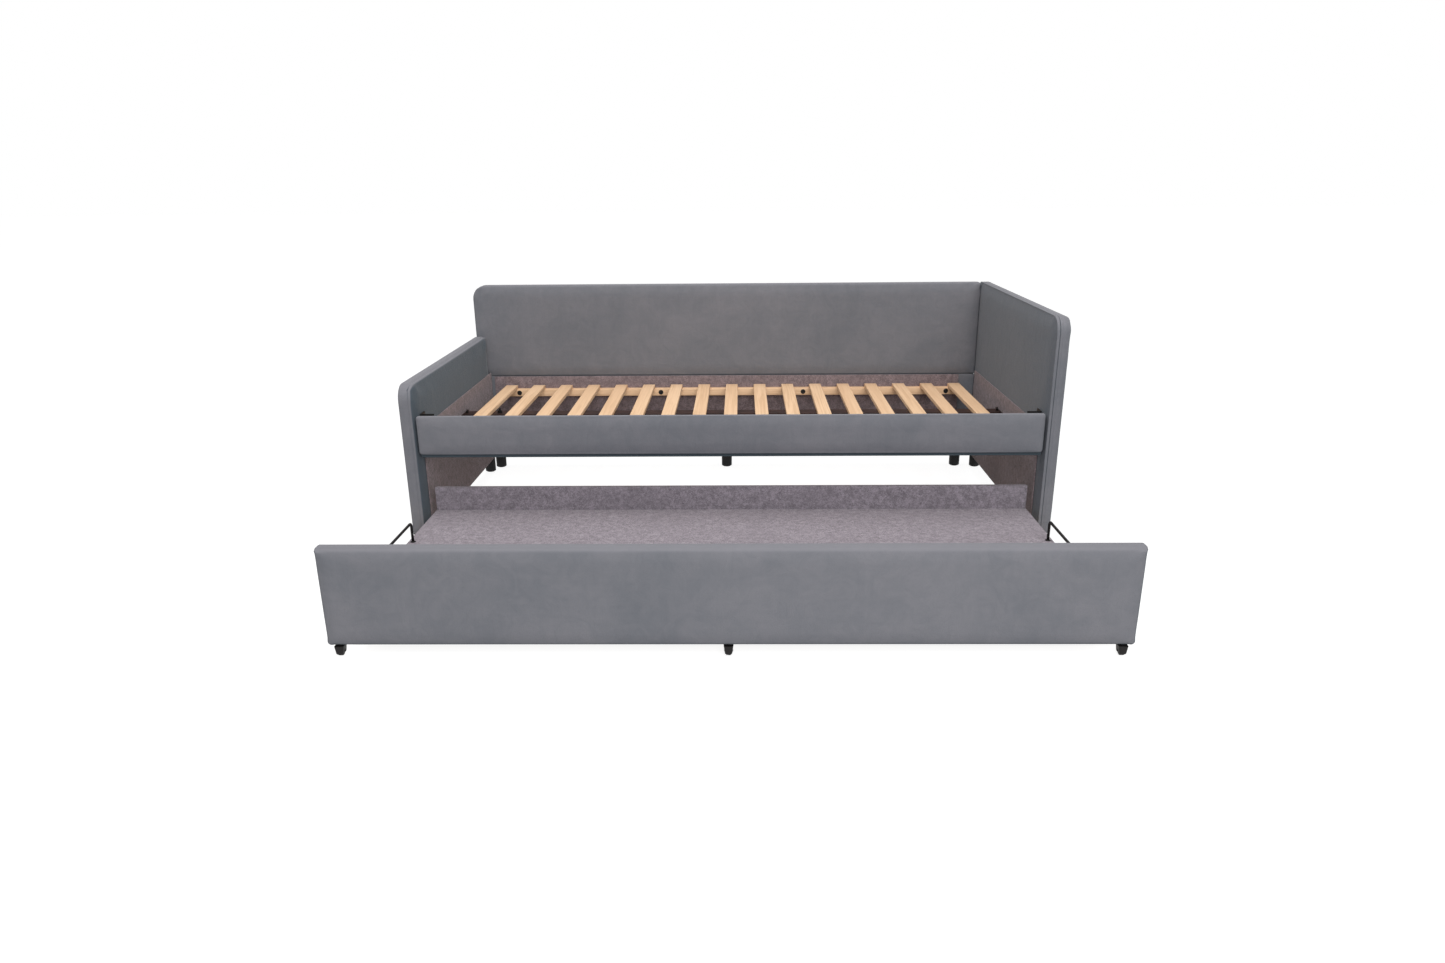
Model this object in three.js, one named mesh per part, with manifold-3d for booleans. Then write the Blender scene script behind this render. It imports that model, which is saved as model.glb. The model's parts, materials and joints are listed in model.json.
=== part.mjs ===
// Upholstered daybed with a roll-out trundle: a long back, one low arm on the left, one tall arm on
// the right, a slatted base and a low second bed on casters underneath.
// Millimetres, +X to the right, +Y to the back, +Z up. The floor is z = 0. The trundle stands pulled
// out, and the origin is on the floor in the middle of the whole outline.

import * as THREE from "three";
import { mergeVertices } from "three/addons/utils/BufferGeometryUtils.js";
import Module from "manifold-3d";

const wasm = await Module();
wasm.setup();

// ---- Driving dimensions -------------------------------------------------------------------------

const GAP = 0.3; // between faces that touch
const WELD = 1; // how far shapes that are joined run into each other
const ROUND_SIDES = 24; // sides of a round piece
const MERGE_WITHIN = 1e-4; // between corners that become one

// Sleeping space of the daybed
const INNER_LENGTH = 1940; // between the two arms
const BACK_FACE_Y = 1025; // from the front of the arms to the padded back
const SLAT_TOP_Z = 348;

// Arms
const LOW_ARM_THICKNESS = 46;
const LOW_ARM_HEIGHT = 542;
const TALL_PAD_THICKNESS = 16;
const TALL_BOARD_THICKNESS = 39;
const CORNER_RADIUS = 50; // of every exposed top corner

// Back
const BACK_HEIGHT = 736;
const BACK_PAD_THICKNESS = 25;
const BACK_BOARD_THICKNESS = 30;
const BACK_PAD_BOTTOM_Z = 381;
const BACK_STEP = 7; // how far the padding overhangs the board below it

// Feet
const FOOT_HEIGHT = 60;
const FOOT_DIAMETER = 42;
const BACK_FOOT_INSET = 52; // from the ends of the back
const ARM_FOOT_INSET = 40; // from the ends of the arms

// Felt linings
const FELT = 3;
const FELT_FRONT_Y = 58; // velvet border left free at the front of each arm
const FELT_REAR_MARGIN = 5;
const ARM_FELT_TOP_Z = 398;
const BACK_FELT_LEFT_MARGIN = 14;
const BACK_FELT_RIGHT_MARGIN = 63;
const FELT_BOTTOM_MARGIN = 3;

// Front rail
const RAIL_TOP_Z = 446;
const RAIL_BOTTOM_Z = 324;
const RAIL_PAD_THICKNESS = 20;
const RAIL_BOARD_THICKNESS = 25;
const RAIL_BOARD_DROP = 12; // below the padding
const RAIL_BOARD_SETDOWN = 6; // below the top of the padding
const RAIL_CORNER_RADIUS = 12;

// Slats and what carries them
const SLAT_COUNT = 17;
const SLAT_WIDTH = 47;
const SLAT_THICKNESS = 14;
const SLAT_END_CLEARANCE = 10;
const FIRST_SLAT_FROM_ARM = 85; // to the middle of the first and last slat
const SLAT_EDGE_BEVEL = 1.5;
const LEDGER_DEPTH = 28;
const LEDGER_HEIGHT = 28;
const BEAM_WIDTH = 60;
const BEAM_HEIGHT = 30;
const BEAM_WALL = 2;
const BEAM_FRONT_Y = 540;
const END_PLATE_THICKNESS = 3;
const END_PLATE_WIDTH = 100;
const END_PLATE_HEIGHT = 44;
const END_PLATE_RISE = 2; // above the top of the beam
const BRACKET_THICKNESS = 3;
const BRACKET_LEG = 44;
const BRACKET_BOTTOM_Z = 385;

// Trundle
const TRUNDLE_TRAVEL = 731; // from where it stands to fully home
const TRUNDLE_HOME_GAP = 3; // left between the front panel and the arms when it is home
const FRONT_PANEL_SHORTFALL = 3; // the front panel stops this far inside each end of the bed
const FRONT_PANEL_THICKNESS = 45;
const FRONT_PANEL_TOP_Z = 292;
const FRONT_PANEL_TOP_RADIUS = 12;
const FRONT_PANEL_BOTTOM_RADIUS = 20;
const DECK_END_CLEARANCE = 25; // between the ends of the deck and the arms
const DECK_DEPTH = 775;
const DECK_TOP_Z = 133; // of the felt on the deck
const DECK_THICKNESS = 12;
const BACK_STOP_THICKNESS = 18;
const BACK_STOP_TOP_Z = 208;
const BACK_STOP_BOTTOM_Z = 36;
const TRUNDLE_RAIL_WIDTH = 40;
const TRUNDLE_RAIL_INSET = 6; // from the ends of the deck

// Mattress retainers: bent rods at both ends of the trundle deck
const ROD_DIAMETER = 8;
const ROD_BEND_RADIUS = 12;
const ROD_HEIGHT = 62; // above the felt
const ROD_SPAN = 300;
const ROD_REAR_FROM_STOP = 309; // from the rear edge of the deck to the rear leg
const ROD_INSET = 15; // from the ends of the deck
const ROD_SIDES = 12;
const ROD_STEPS = 44;

// Casters
const WHEEL_DIAMETER = 26;
const WHEEL_WIDTH = 13;
const WHEEL_TREAD_WIDTH = 7; // flat middle of the tread, before it rounds off
const TREAD_EASE = 0.3; // how far round the shoulder its middle point lies, as a share
const PIN_DIAMETER = 5;
const PIN_CLEARANCE = 0.25; // all round the pin
const PIN_SINK = 1; // into each side of the fork
const WHEEL_CLEARANCE = 0.7; // between the wheel and its fork, on every side
const FORK_ROOF = 3; // thickness above the wheel
const FORK_WALL = 2.5; // least thickness beside, before and behind the wheel
const FORK_TOP_WIDTH = 25;
const FORK_BELOW_AXLE = 6;
const FRONT_CASTER_INSET = 30; // from the ends of the front panel
const REAR_CASTER_FROM_STOP = 36;

// ---- Places worked out from them ----------------------------------------------------------------

const tallArmThickness = TALL_PAD_THICKNESS + TALL_BOARD_THICKNESS;
const overallLength = INNER_LENGTH + LOW_ARM_THICKNESS + tallArmThickness;
const leftOuterX = -overallLength / 2;
const leftInnerX = leftOuterX + LOW_ARM_THICKNESS;
const rightInnerX = leftInnerX + INNER_LENGTH;
const rightOuterX = overallLength / 2;
const innerMiddleX = (leftInnerX + rightInnerX) / 2;
const backRearY = BACK_FACE_Y + BACK_PAD_THICKNESS + BACK_BOARD_THICKNESS;
const lowerBackFaceY = BACK_FACE_Y + BACK_STEP;
const backFeltFaceY = lowerBackFaceY - GAP - FELT;
const railRearY = RAIL_PAD_THICKNESS + RAIL_BOARD_THICKNESS;
const slatBottomZ = SLAT_TOP_Z - SLAT_THICKNESS;
const carrierTopZ = slatBottomZ - GAP; // ledgers and beam
const liningClearance = FELT + 2 * GAP; // from an arm to what stands against its felt
const firstSlatX = leftInnerX + FIRST_SLAT_FROM_ARM;
const lastSlatX = rightInnerX - FIRST_SLAT_FROM_ARM;

const axleZ = WHEEL_DIAMETER / 2;
const casterHeight = WHEEL_DIAMETER + WHEEL_CLEARANCE + FORK_ROOF;
const panelBottomZ = casterHeight + GAP;
const panelRearY = -TRUNDLE_TRAVEL - TRUNDLE_HOME_GAP;
const panelFrontY = panelRearY - FRONT_PANEL_THICKNESS;
const deckFrontY = panelRearY + GAP;
const deckRearY = deckFrontY + DECK_DEPTH;
const deckLeftX = leftInnerX + DECK_END_CLEARANCE;
const deckRightX = rightInnerX - DECK_END_CLEARANCE;
const deckBoardTopZ = DECK_TOP_Z - FELT - GAP;
const deckBoardBottomZ = deckBoardTopZ - DECK_THICKNESS;
const outlineMiddleY = (panelFrontY + backRearY) / 2;

// ---- Materials ----------------------------------------------------------------------------------

function material(color, roughness, metalness = 0) {
  return new THREE.MeshStandardMaterial({ color, roughness, metalness });
}

const velvet = material(0x777a80, 0.85);
const feltCloth = material(0x8f868b, 0.95);
const pine = material(0xdcbd92, 0.6);
const plywood = material(0xb9976b, 0.7);
const blackSteel = material(0x201c1b, 0.45, 0.7);
const brownSteel = material(0x3a221d, 0.5, 0.6);
const blackPlastic = material(0x1a1a1b, 0.5);
const greyRubber = material(0x2b2b2d, 0.8);

// ---- Shape helpers ------------------------------------------------------------------------------

const model = new THREE.Group();
model.position.y = -outlineMiddleY;

function addPiece(name, geometry, finish, position = [0, 0, 0]) {
  const piece = new THREE.Mesh(geometry, finish);
  piece.name = name;
  piece.position.set(...position);
  model.add(piece);
  return piece;
}

// A block between two opposite corners.
function block([x0, y0, z0], [x1, y1, z1]) {
  const geometry = new THREE.BoxGeometry(x1 - x0, y1 - y0, z1 - z0);
  return geometry.translate((x0 + x1) / 2, (y0 + y1) / 2, (z0 + z1) / 2);
}

// A rectangle whose corners are rounded: radii run from the lower left one, anticlockwise.
function roundedOutline(u0, v0, u1, v1, [lowerLeft, lowerRight, upperRight, upperLeft]) {
  const outline = new THREE.Shape();
  const quarter = Math.PI / 2;
  const corners = [
    [u0 + lowerLeft, v0 + lowerLeft, lowerLeft, 2, u0, v0],
    [u1 - lowerRight, v0 + lowerRight, lowerRight, 3, u1, v0],
    [u1 - upperRight, v1 - upperRight, upperRight, 0, u1, v1],
    [u0 + upperLeft, v1 - upperLeft, upperLeft, 1, u0, v1],
  ];
  corners.forEach(([centreU, centreV, radius, turn, cornerU, cornerV], index) => {
    if (radius > 0) {
      outline.absarc(centreU, centreV, radius, turn * quarter, (turn + 1) * quarter, false);
    } else if (index === 0) {
      outline.moveTo(cornerU, cornerV);
    } else {
      outline.lineTo(cornerU, cornerV);
    }
  });
  return outline;
}

function extrude(outline, thickness, curveSegments = 10) {
  return new THREE.ExtrudeGeometry(outline, { depth: thickness, bevelEnabled: false, curveSegments });
}

// An upright panel that faces the front: its outline is in X and Z.
function panelFacingFront(outline, frontY, rearY) {
  return extrude(outline, rearY - frontY).rotateX(Math.PI / 2).translate(0, rearY, 0);
}

// An upright panel that faces sideways: its outline is in Y and Z.
function panelFacingSide(outline, leftX, rightX) {
  const turn = new THREE.Matrix4().set(0, 0, 1, leftX, 1, 0, 0, 0, 0, 1, 0, 0, 0, 0, 0, 1);
  return extrude(outline, rightX - leftX).applyMatrix4(turn);
}

function toSolid(geometry) {
  const bare = geometry.clone();
  bare.deleteAttribute("normal");
  bare.deleteAttribute("uv");
  const welded = mergeVertices(bare, MERGE_WITHIN);
  const vertProperties = new Float32Array(welded.attributes.position.array);
  const triVerts = new Uint32Array(welded.index.array);
  return new wasm.Manifold(new wasm.Mesh({ numProp: 3, vertProperties, triVerts }));
}

function toGeometry(solid) {
  const mesh = solid.getMesh();
  const geometry = new THREE.BufferGeometry();
  geometry.setAttribute("position", new THREE.BufferAttribute(mesh.vertProperties, 3));
  geometry.setIndex(new THREE.BufferAttribute(mesh.triVerts, 1));
  return geometry;
}

function join(...geometries) {
  return toGeometry(geometries.map(toSolid).reduce((whole, next) => whole.add(next)));
}

function cut(body, ...tools) {
  return toGeometry(tools.map(toSolid).reduce((rest, tool) => rest.subtract(tool), toSolid(body)));
}

// ---- Arms and back ------------------------------------------------------------------------------

function addArms() {
  const lowOutline = roundedOutline(0, FOOT_HEIGHT, BACK_FACE_Y - GAP, LOW_ARM_HEIGHT,
    [0, 0, 0, CORNER_RADIUS]);
  addPiece("low_arm", panelFacingSide(lowOutline, leftOuterX, leftInnerX), velvet);

  const tallOutline = roundedOutline(0, FOOT_HEIGHT, backRearY, BACK_HEIGHT, [0, 0, 0, CORNER_RADIUS]);
  const padRightX = rightInnerX + TALL_PAD_THICKNESS - GAP;
  addPiece("tall_arm_pad", panelFacingSide(tallOutline, rightInnerX, padRightX), velvet);
  addPiece("tall_arm_board", panelFacingSide(tallOutline, padRightX + GAP, rightOuterX), velvet);
}

function addBack() {
  const rightX = rightInnerX - GAP;
  const padFloorZ = BACK_PAD_BOTTOM_Z;
  const upper = roundedOutline(leftOuterX, padFloorZ, rightX, BACK_HEIGHT, [0, 0, 0, CORNER_RADIUS]);
  const whole = roundedOutline(leftOuterX, FOOT_HEIGHT, rightX, BACK_HEIGHT, [0, 0, 0, CORNER_RADIUS]);
  const padRearY = BACK_FACE_Y + BACK_PAD_THICKNESS;
  addPiece("back_pad", panelFacingFront(upper, BACK_FACE_Y, padRearY), velvet);

  const plate = panelFacingFront(whole, padRearY + GAP, backRearY);
  const lowerPlate = block([leftOuterX, lowerBackFaceY, FOOT_HEIGHT],
    [rightX, padRearY + WELD, padFloorZ - GAP]);
  addPiece("back_board", join(plate, lowerPlate), velvet);
}

function addFeltLinings() {
  const bottomZ = FOOT_HEIGHT + FELT_BOTTOM_MARGIN;
  const rearY = backFeltFaceY - FELT_REAR_MARGIN;
  addPiece("low_arm_felt", block([leftInnerX + GAP, FELT_FRONT_Y, bottomZ],
    [leftInnerX + GAP + FELT, rearY, ARM_FELT_TOP_Z]), feltCloth);
  addPiece("tall_arm_felt", block([rightInnerX - GAP - FELT, FELT_FRONT_Y, bottomZ],
    [rightInnerX - GAP, rearY, ARM_FELT_TOP_Z]), feltCloth);
  addPiece("back_felt", block([leftInnerX + BACK_FELT_LEFT_MARGIN, backFeltFaceY, bottomZ],
    [rightInnerX - BACK_FELT_RIGHT_MARGIN, backFeltFaceY + FELT, BACK_PAD_BOTTOM_Z - GAP]), feltCloth);
}

function addFeet() {
  const backLeftX = leftOuterX + BACK_FOOT_INSET;
  const backRightX = rightInnerX - BACK_FOOT_INSET;
  const backY = (lowerBackFaceY + backRearY) / 2;
  const lowX = (leftOuterX + leftInnerX) / 2;
  const tallX = (rightInnerX + rightOuterX) / 2;
  const feet = {
    back_foot_left: [backLeftX, backY],
    back_foot_middle: [(backLeftX + backRightX) / 2, backY],
    back_foot_right: [backRightX, backY],
    low_arm_foot_front: [lowX, ARM_FOOT_INSET],
    low_arm_foot_rear: [lowX, BACK_FACE_Y - ARM_FOOT_INSET],
    tall_arm_foot_front: [tallX, ARM_FOOT_INSET],
    tall_arm_foot_rear: [tallX, backRearY - ARM_FOOT_INSET],
  };
  const height = FOOT_HEIGHT - GAP;
  for (const [name, [x, y]] of Object.entries(feet)) {
    const foot = new THREE.CylinderGeometry(FOOT_DIAMETER / 2, FOOT_DIAMETER / 2, height, ROUND_SIDES);
    addPiece(name, foot.rotateX(Math.PI / 2), blackPlastic, [x, y, height / 2]);
  }
}

// ---- Front rail, ledgers, beam and slats ---------------------------------------------------------

function addFrontRail() {
  const leftX = leftInnerX + GAP;
  const rightX = rightInnerX - GAP;
  const round = RAIL_CORNER_RADIUS;
  const pad = roundedOutline(leftX, RAIL_BOTTOM_Z, rightX, RAIL_TOP_Z, [round, round, round, round]);
  addPiece("front_rail_pad", panelFacingFront(pad, 0, RAIL_PAD_THICKNESS), velvet);
  addPiece("front_rail_board", block([leftX, RAIL_PAD_THICKNESS + GAP, RAIL_BOTTOM_Z - RAIL_BOARD_DROP],
    [rightX, railRearY, RAIL_TOP_Z - RAIL_BOARD_SETDOWN]), velvet);
}

// An angle bracket in each front corner holds the rail to the arm; side is -1 left, +1 right.
function addRailBracket(name, armFaceX, side) {
  const outline = new THREE.Shape();
  const faceY = railRearY + GAP;
  const near = armFaceX - side * liningClearance;
  const corners = [
    [near, faceY],
    [near - side * BRACKET_LEG, faceY],
    [near - side * BRACKET_LEG, faceY + BRACKET_THICKNESS],
    [near - side * BRACKET_THICKNESS, faceY + BRACKET_THICKNESS],
    [near - side * BRACKET_THICKNESS, faceY + BRACKET_LEG],
    [near, faceY + BRACKET_LEG],
  ];
  corners.forEach(([x, y], index) => (index ? outline.lineTo(x, y) : outline.moveTo(x, y)));
  const height = RAIL_TOP_Z - BRACKET_BOTTOM_Z;
  addPiece(name, extrude(outline, height), blackSteel, [0, 0, BRACKET_BOTTOM_Z]);
}

// Strips that end flush with the outer edges of the first and last slat.
function addLedgers() {
  const leftX = firstSlatX - SLAT_WIDTH / 2;
  const rightX = lastSlatX + SLAT_WIDTH / 2;
  const bottomZ = carrierTopZ - LEDGER_HEIGHT;
  const places = { front_ledger: railRearY + GAP, rear_ledger: backFeltFaceY - GAP - LEDGER_DEPTH };
  for (const [name, frontY] of Object.entries(places)) {
    addPiece(name, block([leftX, frontY, bottomZ], [rightX, frontY + LEDGER_DEPTH, carrierTopZ]), pine);
  }
}

// A rectangular steel tube under the middle of the slats, with a plate welded over each end.
function addCentreBeam() {
  const leftX = leftInnerX + liningClearance;
  const rightX = rightInnerX - liningClearance;
  const rearY = BEAM_FRONT_Y + BEAM_WIDTH;
  const bottomZ = carrierTopZ - BEAM_HEIGHT;
  const plateFrontY = BEAM_FRONT_Y + (BEAM_WIDTH - END_PLATE_WIDTH) / 2;
  const plateTopZ = carrierTopZ + END_PLATE_RISE;
  const tube = block([leftX + WELD, BEAM_FRONT_Y, bottomZ], [rightX - WELD, rearY, carrierTopZ]);
  const plates = [leftX, rightX - END_PLATE_THICKNESS].map((x) =>
    block([x, plateFrontY, plateTopZ - END_PLATE_HEIGHT],
      [x + END_PLATE_THICKNESS, plateFrontY + END_PLATE_WIDTH, plateTopZ]));
  const bore = block([leftX - WELD, BEAM_FRONT_Y + BEAM_WALL, bottomZ + BEAM_WALL],
    [rightX + WELD, rearY - BEAM_WALL, carrierTopZ - BEAM_WALL]);
  addPiece("centre_beam", cut(join(tube, ...plates), bore), brownSteel);
}

function addSlats() {
  const frontY = railRearY + SLAT_END_CLEARANCE;
  const rearY = backFeltFaceY - SLAT_END_CLEARANCE;
  const pitch = (lastSlatX - firstSlatX) / (SLAT_COUNT - 1);
  const half = SLAT_WIDTH / 2;
  const top = SLAT_THICKNESS;
  const section = new THREE.Shape();
  section.moveTo(-half, 0);
  section.lineTo(half, 0);
  section.lineTo(half, top - SLAT_EDGE_BEVEL);
  section.lineTo(half - SLAT_EDGE_BEVEL, top);
  section.lineTo(SLAT_EDGE_BEVEL - half, top);
  section.lineTo(-half, top - SLAT_EDGE_BEVEL);
  for (let index = 0; index < SLAT_COUNT; index += 1) {
    const x = firstSlatX + index * pitch;
    const name = `slat_${String(index + 1).padStart(2, "0")}`;
    const slat = extrude(section, rearY - frontY).rotateX(Math.PI / 2);
    addPiece(name, slat, pine, [x, rearY, slatBottomZ]);
  }
}

// ---- Trundle ------------------------------------------------------------------------------------

function addTrundlePanels() {
  const leftX = leftOuterX + FRONT_PANEL_SHORTFALL;
  const rightX = rightOuterX - FRONT_PANEL_SHORTFALL;
  const low = FRONT_PANEL_BOTTOM_RADIUS;
  const high = FRONT_PANEL_TOP_RADIUS;
  const outline = roundedOutline(leftX, panelBottomZ, rightX, FRONT_PANEL_TOP_Z,
    [low, low, high, high]);
  addPiece("trundle_front_panel", panelFacingFront(outline, panelFrontY, panelRearY), velvet);
  addPiece("trundle_deck", block([deckLeftX, deckFrontY, deckBoardBottomZ],
    [deckRightX, deckRearY, deckBoardTopZ]), plywood);
  addPiece("trundle_deck_felt", block([deckLeftX, deckFrontY, deckBoardTopZ + GAP],
    [deckRightX, deckRearY, DECK_TOP_Z]), feltCloth);
  const stopFrontY = deckRearY + GAP;
  addPiece("trundle_back_stop", block([deckLeftX, stopFrontY, BACK_STOP_BOTTOM_Z],
    [deckRightX, stopFrontY + BACK_STOP_THICKNESS, BACK_STOP_TOP_Z]), feltCloth);
}

function trundleRailPlaces() {
  const fromEnd = TRUNDLE_RAIL_INSET + TRUNDLE_RAIL_WIDTH / 2;
  return { left: deckLeftX + fromEnd, middle: innerMiddleX, right: deckRightX - fromEnd };
}

function addTrundleRails() {
  const half = TRUNDLE_RAIL_WIDTH / 2;
  for (const [place, x] of Object.entries(trundleRailPlaces())) {
    addPiece(`trundle_rail_${place}`, block([x - half, deckFrontY, panelBottomZ],
      [x + half, deckRearY, deckBoardBottomZ - GAP]), pine);
  }
}

// A rod bent into a low bridge: up from the deck, along it, and down again.
function addRetainer(name, x) {
  const rearY = deckRearY - ROD_REAR_FROM_STOP;
  const frontY = rearY - ROD_SPAN;
  const footZ = DECK_TOP_Z + GAP;
  const topZ = DECK_TOP_Z + ROD_HEIGHT - ROD_DIAMETER / 2;
  const bend = ROD_BEND_RADIUS;
  const at = (y, z) => new THREE.Vector3(x, y, z);
  const route = new THREE.CurvePath();
  route.add(new THREE.LineCurve3(at(frontY, footZ), at(frontY, topZ - bend)));
  route.add(new THREE.QuadraticBezierCurve3(at(frontY, topZ - bend), at(frontY, topZ),
    at(frontY + bend, topZ)));
  route.add(new THREE.LineCurve3(at(frontY + bend, topZ), at(rearY - bend, topZ)));
  route.add(new THREE.QuadraticBezierCurve3(at(rearY - bend, topZ), at(rearY, topZ),
    at(rearY, topZ - bend)));
  route.add(new THREE.LineCurve3(at(rearY, topZ - bend), at(rearY, footZ)));
  const section = new THREE.Shape();
  section.absarc(0, 0, ROD_DIAMETER / 2, 0, 2 * Math.PI, false);
  const rod = new THREE.ExtrudeGeometry(section, {
    steps: ROD_STEPS, extrudePath: route, curveSegments: ROD_SIDES / 2,
  });
  addPiece(name, rod, blackSteel);
}

// ---- Casters ------------------------------------------------------------------------------------

// The wheel's section, turned about its own axle, which then lies along X.
function wheelGeometry() {
  const bore = PIN_DIAMETER / 2 + PIN_CLEARANCE;
  const tread = WHEEL_DIAMETER / 2;
  const half = WHEEL_WIDTH / 2;
  const flat = WHEEL_TREAD_WIDTH / 2;
  const shoulder = half - flat;
  const section = [
    [bore, -half],
    [tread - shoulder, -half],
    [tread - shoulder * TREAD_EASE, -half + shoulder * TREAD_EASE],
    [tread, -flat],
    [tread, flat],
    [tread - shoulder * TREAD_EASE, half - shoulder * TREAD_EASE],
    [tread - shoulder, half],
    [bore, half],
    [bore, -half],
  ].map(([radius, along]) => new THREE.Vector2(radius, along));
  return new THREE.LatheGeometry(section, ROUND_SIDES).rotateZ(-Math.PI / 2);
}

// A hooded fork, which narrows downwards and is open below, and the pin riveted across it, as one
// piece, centred on the axle.
function forkGeometry() {
  const top = casterHeight - axleZ;
  const bottom = -FORK_BELOW_AXLE;
  const innerX = WHEEL_WIDTH / 2 + WHEEL_CLEARANCE;
  const innerY = WHEEL_DIAMETER / 2 + WHEEL_CLEARANCE;
  const lowerHalf = innerX + FORK_WALL;
  const outline = new THREE.Shape();
  outline.moveTo(-lowerHalf, bottom);
  outline.lineTo(lowerHalf, bottom);
  outline.lineTo(FORK_TOP_WIDTH / 2, top);
  outline.lineTo(-FORK_TOP_WIDTH / 2, top);
  const hood = panelFacingFront(outline, -innerY - FORK_WALL, innerY + FORK_WALL);
  const space = block([-innerX, -innerY, bottom - WELD], [innerX, innerY, top - FORK_ROOF]);
  const pinLength = 2 * (innerX + PIN_SINK);
  const pin = new THREE.CylinderGeometry(PIN_DIAMETER / 2, PIN_DIAMETER / 2, pinLength, ROUND_SIDES);
  return join(cut(hood, space), pin.rotateZ(Math.PI / 2));
}

function addCasters() {
  const rails = trundleRailPlaces();
  const frontY = (panelFrontY + panelRearY) / 2;
  const rearY = deckRearY - REAR_CASTER_FROM_STOP;
  const panelEndX = rightOuterX - FRONT_PANEL_SHORTFALL - FRONT_CASTER_INSET;
  const places = {
    front_left: [-panelEndX, frontY],
    front_middle: [0, frontY],
    front_right: [panelEndX, frontY],
    rear_left: [rails.left, rearY],
    rear_middle: [rails.middle, rearY],
    rear_right: [rails.right, rearY],
  };
  for (const [place, [x, y]] of Object.entries(places)) {
    addPiece(`caster_fork_${place}`, forkGeometry(), blackSteel, [x, y, axleZ]);
    addPiece(`caster_wheel_${place}`, wheelGeometry(), greyRubber, [x, y, axleZ]);
  }
}

// ---- The whole bed ------------------------------------------------------------------------------

addArms();
addBack();
addFeltLinings();
addFeet();
addFrontRail();
addRailBracket("rail_bracket_left", leftInnerX, -1);
addRailBracket("rail_bracket_right", rightInnerX, 1);
addLedgers();
addCentreBeam();
addSlats();
addTrundlePanels();
addTrundleRails();
addRetainer("mattress_retainer_left", deckLeftX + ROD_INSET);
addRetainer("mattress_retainer_right", deckRightX - ROD_INSET);
addCasters();

export default model;
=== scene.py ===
"""Looks of an upholstered daybed with a slatted base and a roll-out trundle underneath it.

Metres, +X to the right, +Y to the back, +Z up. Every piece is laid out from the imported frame's own boxes.
"""

import json
import math
from types import SimpleNamespace

import bmesh
import bpy
import numpy as np
from bpy.props import FloatProperty, FloatVectorProperty, PointerProperty
from mathutils import Matrix, Vector


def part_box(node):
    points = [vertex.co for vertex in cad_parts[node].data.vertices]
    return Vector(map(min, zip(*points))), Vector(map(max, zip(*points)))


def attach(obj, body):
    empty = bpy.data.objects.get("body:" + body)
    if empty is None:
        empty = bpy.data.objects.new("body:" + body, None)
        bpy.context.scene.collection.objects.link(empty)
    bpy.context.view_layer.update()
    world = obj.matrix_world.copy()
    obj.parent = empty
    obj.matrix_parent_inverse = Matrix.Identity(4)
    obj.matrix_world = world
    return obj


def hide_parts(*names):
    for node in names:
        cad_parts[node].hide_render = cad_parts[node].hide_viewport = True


bl_info = {
    "name": "Daybed with trundle",
    "version": (1, 0, 0),
    "blender": (4, 5, 0),
    "location": "3D View > Sidebar > Daybed",
    "description": "Upholstery, timber, steel and stage of a daybed with a roll-out trundle",
    "category": "Object",
}

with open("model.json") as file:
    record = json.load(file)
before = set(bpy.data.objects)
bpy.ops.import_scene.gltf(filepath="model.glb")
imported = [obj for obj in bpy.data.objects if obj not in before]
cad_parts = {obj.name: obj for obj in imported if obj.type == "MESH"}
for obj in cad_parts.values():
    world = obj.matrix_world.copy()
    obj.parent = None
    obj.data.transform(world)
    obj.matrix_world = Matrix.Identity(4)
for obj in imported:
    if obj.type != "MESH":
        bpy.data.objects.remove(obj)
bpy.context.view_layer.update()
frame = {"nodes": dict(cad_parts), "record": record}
SLOT_COLOURS = {m["slot"]: m["base_color"] for m in frame["record"]["materials"]}
CASTER_PLACES = [
    f"{row}_{place}" for row in ("front", "rear") for place in ("left", "middle", "right")
]
MATERIAL_PREFIX = "bed_"  # sets the finishes apart from the frame's own plain materials

MM = 0.001
WELD = 0.00001  # corners nearer than this are one
FINE_CELL = 0.014  # grid spacing of padded faces
COARSE_CELL = 0.1  # grid spacing of timber and felt that stays flat
ARC_STEPS = 5  # grid lines in each rounded edge
ROUND_SIDES = 40  # sides of a turned piece
REAR_EDGE = 0.0025  # radius of a padded panel's rear edge
LARGE_CORNER = 0.03  # corners rounder than this are gathered into pleats
SWELL_FRAMES = 14  # steps for which the foam pushes
FREE_SHARE = 0.4  # share of a panel's depth, from its face, that the foam may move

CAMERA_PLACE = (0.0338, -3.3028, 1.1505)
CAMERA_TURN = (20.42, -1.13, 0.51)  # pitch, yaw and roll, in degrees
CAMERA_SHIFT = 0.0538  # upwards, as a share of the frame's width
SENSOR_WIDTH = 36.0  # millimetres
LAMPS_AIM = (0.0, 0.0, 0.35)


# ---- Colour ----


def linear(colour):
    """Scene-linear red, green and blue of a colour that is given as a screen shows it."""
    return tuple(c / 12.92 if c <= 0.04045 else ((c + 0.055) / 1.055) ** 2.4 for c in colour)


def toned(colour, factor, tint=(1.0, 1.0, 1.0)):
    """A colour made lighter or darker by factor and moved towards a tint, with full opacity."""
    return tuple(min(1.0, c * factor * t) for c, t in zip(colour, tint)) + (1.0,)


# ---- Sizes and colours that a user may change ----


def length(name, default, description):
    """A property that holds a length in metres."""
    return FloatProperty(name=name, description=description, default=default, min=0.0, unit="LENGTH")


def colour(name, slot, description):
    """A property that holds a scene-linear colour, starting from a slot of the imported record."""
    return FloatVectorProperty(
        name=name, description=description, default=linear(SLOT_COLOURS[slot]), subtype="COLOR", size=3
    )


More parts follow.
